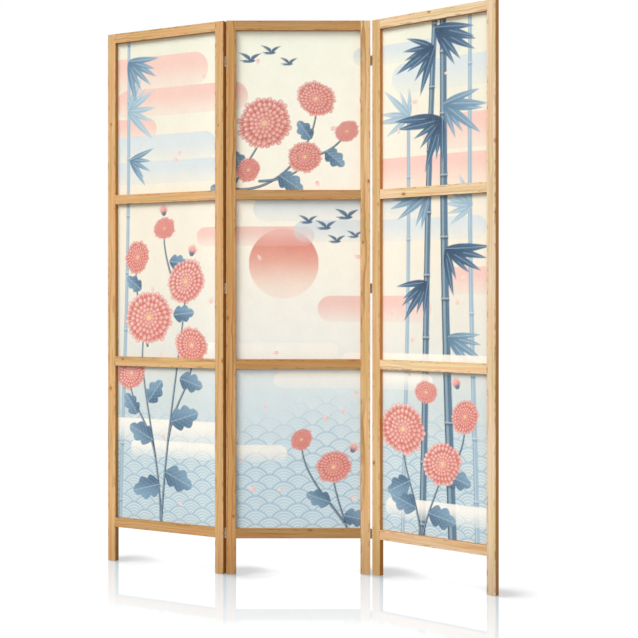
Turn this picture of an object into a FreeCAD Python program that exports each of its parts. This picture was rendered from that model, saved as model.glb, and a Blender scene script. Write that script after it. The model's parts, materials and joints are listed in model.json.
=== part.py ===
import FreeCAD, Part
import os

import Sketcher
from FreeCAD import Placement, Rotation, Vector

# A three-panel wooden folding screen, standing in a zig-zag. Lengths are in millimetres.
#
# Each panel is a frame of two stiles and four rails with three printed sheets. The sheets lie in
# rebates in the back of the frame, under thin beads. The left panel folds on the back of the middle
# one, the right panel on its front, on three butt hinges each. The left joint's leaves are let into
# gains in the stiles, which stand nearly edge to edge there.
#
# Row frame: +Z up, the front towards -Y, the origin on the floor under the middle of the object.
# Every piece is drawn in its panel's frame: X across from the panel's middle, Y from the front face
# towards the back, Z up from the feet. Its placement then turns the panel about its hinge pins.

DOC = FreeCAD.newDocument("folding_screen")
SHEET = DOC.addObject("Spreadsheet::Sheet", "sizes")

SIZES = {
    # frame of one panel
    "panel_tall": 1710,
    "panel_wide": 445,
    "member_thick": 18,
    "stile_wide": 30,
    "rail_tall": 30,
    "leg_tall": 111,
    "arris_round": 0.9,
    # fold of the outer panels from in line, in degrees
    "left_fold_angle": 28.5,
    "right_fold_angle": 40,
    # printed sheets in the back of the cells, and their beads
    "print_recess": 14,
    "print_thick": 0.8,
    "print_lap": 5,
    "rebate_wide": 8,
    "bead_play": 0.3,
    "brad_radius": 0.6,
    "brad_long": 9,
    "brad_inset": 1.5,
    "brad_corner": 22,
    # dowels between rails and stiles
    "dowel_radius": 3,
    "dowel_long": 28,
    "dowel_apart": 14,
    "dowel_deep": 7,
    "hole_end_play": 1,
    "glue_play": 0.05,
    # hinge heights: lower and middle pin centres from the floor, upper one from the top
    "hinge_low": 126,
    "hinge_middle": 883,
    "hinge_from_top": 124,
    # hinge
    "hinge_tall": 30,
    "leaf_thick": 1.2,
    "leaf_wide": 15,
    "knuckle_radius": 2.5,
    "knuckle_gap": 0.2,
    "knuckle_clear": 0.35,
    "pin_radius": 1.2,
    "pin_play": 0.05,
    "pin_proud": 1,
    "button_radius": 1.8,
    "button_tall": 1,
    # gains that the left joint's leaves are let into
    "gain_deep": 2.65,
    "gain_play": 0.1,
    # hinge screws
    "screw_apart": 18,
    "screw_inset": 9,
    "screw_radius": 1.2,
    "screw_long": 11,
    "screw_tip": 3,
    "screw_slot_wide": 0.6,
    "screw_slot_deep": 0.5,
}

PANELS = ("left", "middle", "right")
RAILS = ("bottom_rail", "lower_mid_rail", "upper_mid_rail", "top_rail")
CELLS = ("lower", "middle", "upper")
HINGES = ("lower", "middle", "upper")
KNUCKLES = 5

for row, (alias, number) in enumerate(SIZES.items(), start=1):
    SHEET.set("A%d" % row, alias)
    SHEET.set("B%d" % row, str(number))
    SHEET.setAlias("B%d" % row, alias)
DOC.recompute()

# Sizes that follow from the sheet, each written once as a formula
HINGE_CENTRES = ("sizes.hinge_low", "sizes.hinge_middle",
                 "(sizes.panel_tall - sizes.hinge_from_top)")
RAIL_LONG = "(sizes.panel_wide - 2 * sizes.stile_wide)"
CELL_TALL = ("((sizes.panel_tall - sizes.leg_tall - %d * sizes.rail_tall) / %d)"
             % (len(RAILS), len(CELLS)))
CELL_PITCH = "(%s + sizes.rail_tall)" % CELL_TALL
REBATE_DEEP = "(sizes.member_thick - sizes.print_recess)"
BEAD_THICK = "(%s - sizes.print_thick)" % REBATE_DEEP
BEAD_WIDE = "(sizes.rebate_wide - sizes.bead_play)"
LEAF_FACE = "(sizes.knuckle_radius + sizes.knuckle_clear)"
GAINS = {"left": "sizes.gain_deep", "right": "0"}
NOTCH_REACH = "(%s + sizes.knuckle_clear)" % LEAF_FACE
KNUCKLE_TALL = ("((sizes.hinge_tall - %d * sizes.knuckle_gap) / %d)"
                % (KNUCKLES - 1, KNUCKLES))
DOWEL_BORE = "(sizes.dowel_radius + sizes.glue_play)"
DOWEL_HOLE_DEEP = "(sizes.dowel_long / 2 + sizes.hole_end_play)"
PILOT_RADIUS = "(sizes.screw_radius + sizes.glue_play)"
PILOT_DEEP = "(sizes.screw_long - sizes.leaf_thick + sizes.hole_end_play)"
SCREW_HEAD_RADIUS = "(sizes.screw_radius + sizes.leaf_thick)"


def value(formula):
    """The number that a formula of the sheet's sizes gives."""
    return float(SHEET.evalExpression(formula))


def bind(target, **formulas):
    """Bind each property of an object to its formula."""
    for name, formula in formulas.items():
        target.setExpression(name, formula)


# Where the panels stand: a pin is a leaf's face away from the bottom of the gain, or from the stile
PIN_X = {joint: value("sizes.panel_wide / 2 + %s - %s" % (LEAF_FACE, gain))
         for joint, gain in GAINS.items()}
PIN_BACK_Y = value("sizes.member_thick + sizes.pin_proud")
PIN_FRONT_Y = value("-sizes.pin_proud")


def turned_panel(joint, side, pin_y):
    """Placement of an outer panel: set in line beside the middle panel, then turned about its pin."""
    fold = value("sizes.%s_fold_angle" % joint)
    in_line = Placement(Vector(2 * side * PIN_X[joint], 0, 0), Rotation())
    turn = Placement(Vector(), Rotation(Vector(0, 0, 1), -fold),
                     Vector(side * PIN_X[joint], pin_y, 0))
    return turn.multiply(in_line)


PANEL_PLACES = {
    "left": turned_panel("left", -1, PIN_BACK_Y),
    "middle": Placement(),
    "right": turned_panel("right", 1, PIN_FRONT_Y),
}


def standing_middle():
    """Middle of the plan box round the rounded corners of all three panels."""
    arris = value("sizes.arris_round")
    half = value("sizes.panel_wide / 2") - arris
    deep = (arris, value("sizes.member_thick") - arris)
    centres = [place.multVec(Vector(side * half, y, 0))
               for place in PANEL_PLACES.values() for side in (-1, 1) for y in deep]
    across = [point.x for point in centres]
    along = [point.y for point in centres]
    return Vector((min(across) + max(across)) / 2, (min(along) + max(along)) / 2, 0)


TO_ROW = Placement(standing_middle().negative(), Rotation())


def at(panel, x, y, z, rotation=Rotation()):
    """Row placement of a point of a panel, with a rotation inside the panel."""
    return TO_ROW.multiply(PANEL_PLACES[panel]).multiply(Placement(Vector(x, y, z), rotation))


# Sketches and features
def origin_plane(body, role):
    """One of the body's own origin planes or axes."""
    return (next(f for f in body.Origin.OriginFeatures if f.Role == role), [""])


def new_sketch(body, name, role, lift="0"):
    """A sketch on an origin plane of the body, moved along the plane's normal by a formula."""
    sketch = body.newObject("Sketcher::SketchObject", name)
    sketch.AttachmentSupport = origin_plane(body, role)
    sketch.MapMode = "FlatFace"
    sketch.setExpression("AttachmentOffset.Base.z", lift)
    return sketch


def drive(sketch, kind, geometry, point, formula):
    """A coordinate or size constraint of a sketch, bound to a formula."""
    number = value(formula)
    if kind == "Radius":
        index = sketch.addConstraint(Sketcher.Constraint(kind, geometry, number))
    else:
        index = sketch.addConstraint(Sketcher.Constraint(kind, geometry, point, number))
    sketch.setExpression("Constraints[%d]" % index, formula)


def rectangle(sketch, low_x, low_y, high_x, high_y):
    """A rectangle between two corners given as formulas."""
    x0, y0, x1, y1 = (value(f) for f in (low_x, low_y, high_x, high_y))
    corners = [Vector(x0, y0), Vector(x1, y0), Vector(x1, y1), Vector(x0, y1)]
    first = sketch.GeometryCount
    for k in range(4):
        sketch.addGeometry(Part.LineSegment(corners[k], corners[(k + 1) % 4]))
    for k in range(4):
        following = first + (k + 1) % 4
        sketch.addConstraint(Sketcher.Constraint("Coincident", first + k, 2, following, 1))
        level = "Horizontal" if k % 2 == 0 else "Vertical"
        sketch.addConstraint(Sketcher.Constraint(level, first + k))
    drive(sketch, "DistanceX", first, 1, low_x)
    drive(sketch, "DistanceY", first, 1, low_y)
    drive(sketch, "DistanceX", first + 2, 1, high_x)
    drive(sketch, "DistanceY", first + 2, 1, high_y)


def circle(sketch, x, y, radius):
    """A circle with its centre and radius given as formulas."""
    centre = Vector(value(x), value(y))
    index = sketch.addGeometry(Part.Circle(centre, Vector(0, 0, 1), value(radius)))
    drive(sketch, "DistanceX", index, 3, x)
    drive(sketch, "DistanceY", index, 3, y)
    drive(sketch, "Radius", index, 3, radius)


def pad(body, name, sketch, length, both_ways=False):
    """A pad of the sketch over a length."""
    feature = body.newObject("PartDesign::Pad", name)
    feature.Profile = sketch
    feature.setExpression("Length", length)
    feature.SideType = "Symmetric" if both_ways else "One side"
    DOC.recompute()
    return feature


def pocket(body, name, sketch, length, towards_normal=False, both_ways=False):
    """A pocket of the sketch, which must take material away."""
    before = body.Shape.Volume
    feature = body.newObject("PartDesign::Pocket", name)
    feature.Profile = sketch
    feature.setExpression("Length", length)
    feature.Reversed = towards_normal
    feature.SideType = "Symmetric" if both_ways else "One side"
    DOC.recompute()
    if body.Shape.Volume >= before:
        raise RuntimeError("%s of %s cuts nothing" % (name, body.Label))
    return feature


def ease(body, base, edges):
    """Round edges of the base feature to the arris."""
    feature = body.newObject("PartDesign::Fillet", "arris")
    feature.Base = (base, edges)
    feature.setExpression("Radius", "sizes.arris_round")
    DOC.recompute()


def new_body(label):
    """An empty body with its label."""
    body = DOC.addObject("PartDesign::Body", label)
    body.Label = label
    return body


# Pieces that are written to files, in the order they are made
PIECES = []


def keep(piece, label, placement):
    """Name a finished piece, place it and list it for export."""
    piece.Label = label
    piece.Placement = placement
    PIECES.append(piece)


def rail_floor(index):
    """Formula of the height of a rail's underside above the floor."""
    return "(sizes.leg_tall + %d * %s)" % (index, CELL_PITCH)


def cell_floor(index):
    """Formula of the height of a cell's lower edge above the floor."""
    return "(%s + sizes.rail_tall)" % rail_floor(index)


# Stiles: full-height uprights, drawn with the inner side face at X = 0
def make_stile(panel, side, hinge_face):
    """A stile on one side of a panel; hinge_face is front, back or None."""
    label = "%s_panel_%s_stile" % (panel, "left" if side < 0 else "right")
    body = new_body(label)
    outer = "(%d * sizes.stile_wide)" % side

    section = new_sketch(body, "section", "XY_Plane")
    low_x, high_x = (outer, "0") if side < 0 else ("0", outer)
    rectangle(section, low_x, "0", high_x, "sizes.member_thick")
    upright = pad(body, "upright", section, "sizes.panel_tall")
    ease(body, upright, ["Edge%d" % (n + 1) for n in range(len(upright.Shape.Edges))])

    # one rebate behind each cell's edge
    rebates = new_sketch(body, "rebate_outline", "XZ_Plane", "-sizes.print_recess")
    edge = "(%d * sizes.rebate_wide)" % side
    low_x, high_x = (edge, "0") if side < 0 else ("0", edge)
    for cell in range(len(CELLS)):
        rectangle(rebates, low_x, "%s - sizes.rebate_wide" % cell_floor(cell),
                  high_x, "%s + %s + sizes.rebate_wide" % (cell_floor(cell), CELL_TALL))
    pocket(body, "rebates", rebates, REBATE_DEEP)

    # dowel holes in the inner side face, two per rail
    bores = new_sketch(body, "dowel_centres", "YZ_Plane")
    for index in range(len(RAILS)):
        for sign in (-1, 1):
            height = ("%s + sizes.rail_tall / 2 + %d * sizes.dowel_apart / 2"
                      % (rail_floor(index), sign))
            circle(bores, "sizes.dowel_deep", height, DOWEL_BORE)
    pocket(body, "dowel_holes", bores, DOWEL_HOLE_DEEP, towards_normal=side > 0)

    # gains for the left joint's hinge leaves, open to the back
    wood_face = outer
    if hinge_face == "back":
        wood_face = "(%s - %d * sizes.gain_deep)" % (outer, side)
        gains = new_sketch(body, "gain_outline", "YZ_Plane", wood_face)
        front_end = "(sizes.member_thick + sizes.pin_proud - sizes.leaf_wide - sizes.gain_play)"
        half_tall = "(sizes.hinge_tall / 2 + sizes.button_tall + sizes.gain_play)"
        for height in HINGE_CENTRES:
            rectangle(gains, front_end, "%s - %s" % (height, half_tall),
                      "sizes.member_thick + sizes.gain_play", "%s + %s" % (height, half_tall))
        pocket(body, "gains", gains, "2 * sizes.gain_deep", towards_normal=side > 0)

    # pilot holes for the hinge screws in the outer side face, or in the bottom of the gain
    if hinge_face:
        pilots = new_sketch(body, "screw_centres", "YZ_Plane", wood_face)
        depth = "(sizes.screw_inset - sizes.pin_proud)"
        if hinge_face == "back":
            depth = "(sizes.member_thick - %s)" % depth
        for height in HINGE_CENTRES:
            for sign in (-1, 1):
                circle(pilots, depth, "%s + %d * sizes.screw_apart / 2" % (height, sign),
                       PILOT_RADIUS)
        pocket(body, "screw_holes", pilots, PILOT_DEEP, towards_normal=side < 0)

    keep(body, label, at(panel, side * value("%s / 2" % RAIL_LONG), 0, 0))


# Rails: between the stiles, drawn about the panel's middle with the underside at Z = 0
def make_rail(panel, index):
    """One of a panel's rails, counted from the bottom."""
    label = "%s_panel_%s" % (panel, RAILS[index])
    body = new_body(label)

    section = new_sketch(body, "section", "YZ_Plane")
    rectangle(section, "0", "0", "sizes.member_thick", "sizes.rail_tall")
    bar = pad(body, "bar", section, RAIL_LONG, both_ways=True)
    lengthwise = ["Edge%d" % (n + 1) for n, edge in enumerate(bar.Shape.Edges)
                  if round(abs(edge.tangentAt(edge.FirstParameter).x)) == 1]
    ease(body, bar, lengthwise)

    # rebates along the back edges that face a cell
    rebates = new_sketch(body, "rebate_outline", "YZ_Plane")
    if index > 0:
        rectangle(rebates, "sizes.print_recess", "0", "sizes.member_thick", "sizes.rebate_wide")
    if index < len(CELLS):
        rectangle(rebates, "sizes.print_recess", "sizes.rail_tall - sizes.rebate_wide",
                  "sizes.member_thick", "sizes.rail_tall")
    pocket(body, "rebates", rebates, RAIL_LONG, both_ways=True)

    # dowel holes in both ends
    bores = new_sketch(body, "dowel_centres", "YZ_Plane", "%s / 2" % RAIL_LONG)
    for sign in (-1, 1):
        circle(bores, "sizes.dowel_deep", "sizes.rail_tall / 2 + %d * sizes.dowel_apart / 2" % sign,
               DOWEL_BORE)
    one_end = pocket(body, "dowel_holes", bores, DOWEL_HOLE_DEEP)
    both_ends = body.newObject("PartDesign::Mirrored", "other_end")
    both_ends.Originals = [one_end]
    both_ends.MirrorPlane = origin_plane(body, "YZ_Plane")
    body.Tip = both_ends
    DOC.recompute()

    keep(body, label, at(panel, 0, 0, value(rail_floor(index))))


# Printed sheets: one per cell, against the shoulder of the rebates
def make_print(panel, cell):
    """The printed sheet of one cell."""
    label = "%s_panel_%s_print" % (panel, CELLS[cell])
    sheet = DOC.addObject("Part::Box", label)
    bind(sheet, Length="%s + 2 * sizes.print_lap" % RAIL_LONG, Width="sizes.print_thick",
         Height="%s + 2 * sizes.print_lap" % CELL_TALL)
    corner_x = value("-%s / 2 - sizes.print_lap" % RAIL_LONG)
    corner_z = value("%s - sizes.print_lap" % cell_floor(cell))
    keep(sheet, label, at(panel, corner_x, value("sizes.print_recess"), corner_z))


def group(label, members, placement):
    """Several solids that share one node."""
    compound = DOC.addObject("Part::Compound", label)
    compound.Links = members
    keep(compound, label, placement)


# Beads: four strips behind each sheet, flush with the back of the frame
def make_beads(panel):
    """All bead strips of a panel: a lower, an upper and two side strips per cell."""
    label = "%s_panel_back_beads" % panel
    half = "(%s / 2)" % RAIL_LONG
    strips = []
    for cell in range(len(CELLS)):
        low = cell_floor(cell)
        high = "(%s + %s)" % (low, CELL_TALL)
        level = "%s + 2 * %s" % (RAIL_LONG, BEAD_WIDE)
        places = (
            ("-%s - %s" % (half, BEAD_WIDE), "%s - %s" % (low, BEAD_WIDE), level, BEAD_WIDE),
            ("-%s - %s" % (half, BEAD_WIDE), high, level, BEAD_WIDE),
            ("-%s - %s" % (half, BEAD_WIDE), low, BEAD_WIDE, CELL_TALL),
            (half, low, BEAD_WIDE, CELL_TALL),
        )
        for number, (x, z, wide, tall) in enumerate(places):
            strip = DOC.addObject("Part::Box", "%s_%d_%d" % (label, cell, number))
            bind(strip, Length=wide, Width=BEAD_THICK, Height=tall)
            deep = value("sizes.print_recess + sizes.print_thick")
            strip.Placement = Placement(Vector(value(x), deep, value(z)), Rotation())
            strips.append(strip)
    group(label, strips, at(panel, 0, 0, 0))


def copies(label, pattern, places):
    """Links to one pattern piece, one at each placement."""
    links = []
    for number, place in enumerate(places):
        link = DOC.addObject("App::Link", "%s_%d" % (label, number))
        link.LinkedObject = pattern
        link.Placement = place
        links.append(link)
    return links


TURN_TO_X = Rotation(Vector(0, 1, 0), 90)
TURN_TO_FRONT = Rotation(Vector(1, 0, 0), 90)

# Brads: driven from the back through the beads, outside the sheets' edges
BRAD = DOC.addObject("Part::Cylinder", "brad_pattern")
bind(BRAD, Radius="sizes.brad_radius", Height="sizes.brad_long")


def make_brads(panel):
    """All brads of a panel, three along each bead strip."""
    label = "%s_panel_bead_brads" % panel
    reach = value("sizes.rebate_wide - sizes.brad_inset")
    half = value("%s / 2" % RAIL_LONG)
    corner = value("sizes.brad_corner")
    tall = value(CELL_TALL)
    back = value("sizes.member_thick")
    places = []
    for cell in range(len(CELLS)):
        low = value(cell_floor(cell))
        points = [(x, z) for x in (corner - half, 0, half - corner)
                  for z in (low - reach, low + tall + reach)]
        points += [(x, z) for x in (-half - reach, half + reach)
                   for z in (low + corner, low + tall / 2, low + tall - corner)]
        places += [Placement(Vector(x, back, z), TURN_TO_FRONT) for x, z in points]
    group(label, copies(label, BRAD, places), at(panel, 0, 0, 0))


# Dowels: two in each end of each rail, half in the rail and half in the stile
DOWEL = DOC.addObject("Part::Cylinder", "dowel_pattern")
bind(DOWEL, Radius="sizes.dowel_radius", Height="sizes.dowel_long")


def make_dowels(panel):
    """All rail dowels of a panel."""
    label = "%s_panel_rail_dowels" % panel
    places = []
    for index in range(len(RAILS)):
        for side in (-1, 1):
            for sign in (-1, 1):
                x = value("(%d * %s - sizes.dowel_long) / 2" % (side, RAIL_LONG))
                z = value("%s + (sizes.rail_tall + %d * sizes.dowel_apart) / 2"
                          % (rail_floor(index), sign))
                places.append(Placement(Vector(x, value("sizes.dowel_deep"), z), TURN_TO_X))
    group(label, copies(label, DOWEL, places), at(panel, 0, 0, 0))


# Hinges. A leaf is drawn at its pin, with its wood face at +X and its plate towards -Y, and its
# middle at Z = 0. Half turns then place it on either side of a joint.
def primitive(kind, name, place=Placement(), **formulas):
    """A Part primitive bound to the sheet, at a place."""
    thing = DOC.addObject("Part::" + kind, name)
    bind(thing, **formulas)
    thing.Placement = place
    return thing


def joined(kind, name, shapes):
    """A fuse of several shapes."""
    thing = DOC.addObject("Part::" + kind, name)
    thing.Shapes = shapes
    return thing


def knuckle_floor(number):
    """Height of a knuckle's lower end above the hinge's middle."""
    return value("-sizes.hinge_tall / 2 + %d * (%s + sizes.knuckle_gap)" % (number, KNUCKLE_TALL))


def make_leaf(label, numbers, placement):
    """A hinge leaf that has the knuckles with these numbers."""
    inner_x = value("%s - sizes.leaf_thick" % LEAF_FACE)
    plate_wide = "(sizes.leaf_wide - %s)" % NOTCH_REACH
    solids = [primitive("Box", label + "_plate",
                        Placement(Vector(inner_x, value("-sizes.leaf_wide"),
                                         value("-sizes.hinge_tall / 2")), Rotation()),
                        Length="sizes.leaf_thick", Width=plate_wide, Height="sizes.hinge_tall")]
    for number in numbers:
        floor = knuckle_floor(number)
        solids.append(primitive("Box", "%s_tongue_%d" % (label, number),
                                Placement(Vector(inner_x, value("-%s" % NOTCH_REACH), floor),
                                          Rotation()),
                                Length="sizes.leaf_thick", Width=NOTCH_REACH,
                                Height=KNUCKLE_TALL))
        solids.append(primitive("Cylinder", "%s_knuckle_%d" % (label, number),
                                Placement(Vector(0, 0, floor), Rotation()),
                                Radius="sizes.knuckle_radius", Height=KNUCKLE_TALL))
    whole = joined("MultiFuse", label + "_whole", solids)

    bore = primitive("Cylinder", label + "_bore",
                     Placement(Vector(0, 0, value("-sizes.hinge_tall / 2")), Rotation()),
                     Radius="sizes.pin_radius + sizes.pin_play", Height="sizes.hinge_tall")
    cuts = [bore]
    for sign in (-1, 1):
        centre = Vector(inner_x, value("-sizes.screw_inset"),
                        value("%d * sizes.screw_apart / 2" % sign))
        cuts.append(primitive("Cone", "%s_sink_%d" % (label, sign), Placement(centre, TURN_TO_X),
                              Radius1="%s + sizes.glue_play" % SCREW_HEAD_RADIUS,
                              Radius2=PILOT_RADIUS, Height="sizes.leaf_thick"))
        cuts.append(primitive("Cylinder", "%s_hole_%d" % (label, sign),
                              Placement(centre, TURN_TO_X), Radius=PILOT_RADIUS,
                              Height="2 * sizes.leaf_thick"))
    holes = joined("MultiFuse", label + "_holes", cuts)

    leaf = DOC.addObject("Part::Cut", label)
    leaf.Base = whole
    leaf.Tool = holes
    keep(leaf, label, placement)


def make_pin(label, placement):
    """A hinge pin with a button at each end."""
    half = value("sizes.hinge_tall / 2")
    shaft = primitive("Cylinder", label + "_shaft", Placement(Vector(0, 0, -half), Rotation()),
                      Radius="sizes.pin_radius", Height="sizes.hinge_tall")
    sizes = {"Radius1": "sizes.button_radius", "Radius2": "sizes.pin_radius",
             "Height": "sizes.button_tall"}
    upper = primitive("Cone", label + "_upper_button", Placement(Vector(0, 0, half), Rotation()),
                      **sizes)
    lower = primitive("Cone", label + "_lower_button",
                      Placement(Vector(0, 0, -half), Rotation(Vector(1, 0, 0), 180)), **sizes)
    keep(joined("MultiFuse", label, [shaft, upper, lower]), label, placement)


def screw_pattern():
    """A countersunk wood screw along +X, with its head's face at X = 0 and a crossed recess."""
    head = primitive("Cone", "screw_head", Placement(Vector(), TURN_TO_X),
                     Radius1=SCREW_HEAD_RADIUS, Radius2="sizes.screw_radius",
                     Height="sizes.leaf_thick")
    shank = primitive("Cylinder", "screw_shank", Placement(Vector(), TURN_TO_X),
                      Radius="sizes.screw_radius", Height="sizes.screw_long - sizes.screw_tip")
    tip_x = value("sizes.screw_long - sizes.screw_tip")
    tip = primitive("Cone", "screw_tip", Placement(Vector(tip_x, 0, 0), TURN_TO_X),
                    Radius1="sizes.screw_radius", Radius2="0", Height="sizes.screw_tip")
    slot_long = "2 * sizes.screw_radius"
    half_wide = value("sizes.screw_slot_wide / 2")
    half_long = value("sizes.screw_radius")
    level = primitive("Box", "screw_slot_level",
                      Placement(Vector(0, -half_long, -half_wide), Rotation()),
                      Length="sizes.screw_slot_deep", Width=slot_long,
                      Height="sizes.screw_slot_wide")
    upright = primitive("Box", "screw_slot_upright",
                        Placement(Vector(0, -half_wide, -half_long), Rotation()),
                        Length="sizes.screw_slot_deep", Width="sizes.screw_slot_wide",
                        Height=slot_long)
    screw = DOC.addObject("Part::Cut", "screw_pattern")
    screw.Base = joined("MultiFuse", "screw_whole", [head, shank, tip])
    screw.Tool = joined("MultiFuse", "screw_recess", [level, upright])
    return screw


SCREW = screw_pattern()
AS_DRAWN = Rotation()
SWAP_SIDES = Rotation(Vector(0, 1, 0), 180)
HALF_TURN = Rotation(Vector(0, 0, 1), 180)


def make_hinge_side(joint, panel, pin_x, pin_y, turn, numbers, word):
    """The leaves and screws of one joint on one panel; turn carries the drawn leaf to its side."""
    screw_places = []
    for name, height in zip(HINGES, map(value, HINGE_CENTRES)):
        place = Placement(Vector(pin_x, pin_y, height), turn)
        make_leaf("%s_%s_hinge_%s_leaf" % (joint, name, word), numbers,
                  at(panel, pin_x, pin_y, height, turn))
        head_x = value("%s - sizes.leaf_thick" % LEAF_FACE)
        for sign in (-1, 1):
            head = Vector(head_x, value("-sizes.screw_inset"),
                          value("%d * sizes.screw_apart / 2" % sign))
            screw_places.append(place.multiply(Placement(head, Rotation())))
    label = "%s_joint_%s_screws" % (joint, word)
    group(label, copies(label, SCREW, screw_places), at(panel, 0, 0, 0))


ROOT_KNUCKLES = tuple(range(0, KNUCKLES, 2))
FOLD_KNUCKLES = tuple(range(1, KNUCKLES, 2))


def make_joint(joint, side, pin_y):
    """The three hinges between the middle panel and the outer panel on one side."""
    at_back = pin_y > 0
    inner_turn = AS_DRAWN if at_back else HALF_TURN
    outer_turn = SWAP_SIDES if at_back else HALF_TURN.multiply(SWAP_SIDES)
    pin_x = side * PIN_X[joint]
    make_hinge_side(joint, "middle", pin_x, pin_y, inner_turn, ROOT_KNUCKLES, "inner")
    make_hinge_side(joint, joint, -pin_x, pin_y, outer_turn, FOLD_KNUCKLES, "outer")
    for name, height in zip(HINGES, map(value, HINGE_CENTRES)):
        make_pin("%s_%s_hinge_pin" % (joint, name), at("middle", pin_x, pin_y, height))


HINGE_FACES = {
    "left": (None, "back"),
    "middle": ("back", "front"),
    "right": ("front", None),
}

for panel in PANELS:
    for side, face in zip((-1, 1), HINGE_FACES[panel]):
        make_stile(panel, side, face)
    for index in range(len(RAILS)):
        make_rail(panel, index)
    for cell in range(len(CELLS)):
        make_print(panel, cell)
    make_beads(panel)
    make_brads(panel)
    make_dowels(panel)
make_joint("left", -1, PIN_BACK_Y)
make_joint("right", 1, PIN_FRONT_Y)
DOC.recompute()

# Every object must be sound before anything is written
for thing in DOC.Objects:
    if "Invalid" in thing.State or "Error" in thing.State:
        raise RuntimeError("%s failed: %s" % (thing.Label, thing.State))
for piece in PIECES:
    if piece.Shape.isNull() or not piece.Shape.isValid():
        raise RuntimeError("%s has no valid shape" % piece.Label)

os.makedirs("parts", exist_ok=True)
for piece in PIECES:
    piece.Shape.exportStep("parts/%s.step" % piece.Label)

pin_rows = {"left": at("middle", -PIN_X["left"], PIN_BACK_Y, 0),
            "right": at("middle", PIN_X["right"], PIN_FRONT_Y, 0)}
for joint, place in pin_rows.items():
    print("%s pins at x %.3f y %.3f" % (joint, place.Base.x, place.Base.y))
print("%d pieces, middle of the panels at %.3f %.3f" % (len(PIECES), TO_ROW.Base.x, TO_ROW.Base.y))
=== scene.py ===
import json
import math

import bpy
import numpy as np
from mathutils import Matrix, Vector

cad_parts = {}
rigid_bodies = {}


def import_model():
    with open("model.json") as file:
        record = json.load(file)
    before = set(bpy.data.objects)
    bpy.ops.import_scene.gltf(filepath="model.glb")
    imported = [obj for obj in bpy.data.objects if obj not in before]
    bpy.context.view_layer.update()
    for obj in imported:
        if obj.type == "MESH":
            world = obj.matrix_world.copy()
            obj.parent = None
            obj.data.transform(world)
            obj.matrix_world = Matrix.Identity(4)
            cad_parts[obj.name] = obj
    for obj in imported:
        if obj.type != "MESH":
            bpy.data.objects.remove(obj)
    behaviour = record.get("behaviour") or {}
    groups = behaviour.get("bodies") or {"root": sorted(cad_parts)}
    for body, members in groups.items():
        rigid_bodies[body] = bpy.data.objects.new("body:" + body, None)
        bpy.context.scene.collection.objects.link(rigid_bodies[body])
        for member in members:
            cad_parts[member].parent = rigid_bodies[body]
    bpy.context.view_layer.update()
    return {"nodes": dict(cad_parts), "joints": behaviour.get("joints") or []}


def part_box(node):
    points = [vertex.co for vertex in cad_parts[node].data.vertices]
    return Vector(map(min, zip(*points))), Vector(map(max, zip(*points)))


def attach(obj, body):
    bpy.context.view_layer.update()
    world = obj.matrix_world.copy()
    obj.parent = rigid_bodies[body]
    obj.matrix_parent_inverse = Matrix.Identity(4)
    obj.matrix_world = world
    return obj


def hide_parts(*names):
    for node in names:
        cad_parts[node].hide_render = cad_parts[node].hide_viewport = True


for leftover in list(bpy.data.objects):
    bpy.data.objects.remove(leftover)
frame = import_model()


# Camera: set at the photograph's viewing angle. The middle panel is parallel to the image, and the
# eye is level with half the screen's height, 3.9 m in front of it, so the uprights stay upright.
EYE = (0.08538, -3.88736, 0.84915)
LENS = 71.58
SHIFT_DOWN = 0.03085

scene = bpy.context.scene
scene.view_settings.view_transform = "Standard"
camera_data = bpy.data.cameras.new("camera")
camera_data.lens = LENS
camera_data.sensor_width = 36
camera_data.shift_y = -SHIFT_DOWN
camera_data.clip_end = 60
camera = bpy.data.objects.new("camera", camera_data)
camera.location = EYE
camera.rotation_euler = (math.radians(90), 0, 0)
scene.collection.objects.link(camera)
scene.camera = camera


# Stiles and rails: the three frames, each of two full-height stiles, whose feet are the legs, and
# four rails between them. Planed knotty pine 30 by 18 mm, glued on dowels, its arrises rounded by
# sanding, finished with a thin clear satin varnish.
MEMBER_WIDE = 0.030
MEMBER_THICK = 0.018
ARRIS = 0.0018
RING_SPACING = 0.0046
GRAIN_WANDER = 0.026
GRAIN_RIPPLE = 0.0062
NICK_BAND = 0.0080
FOOT_PAINTED_SHADE_REACH = 0.20
RAILS = ("bottom_rail", "lower_mid_rail", "upper_mid_rail", "top_rail")
STILES = ("left_stile", "right_stile")
PANELS = ("left", "middle", "right")


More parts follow.
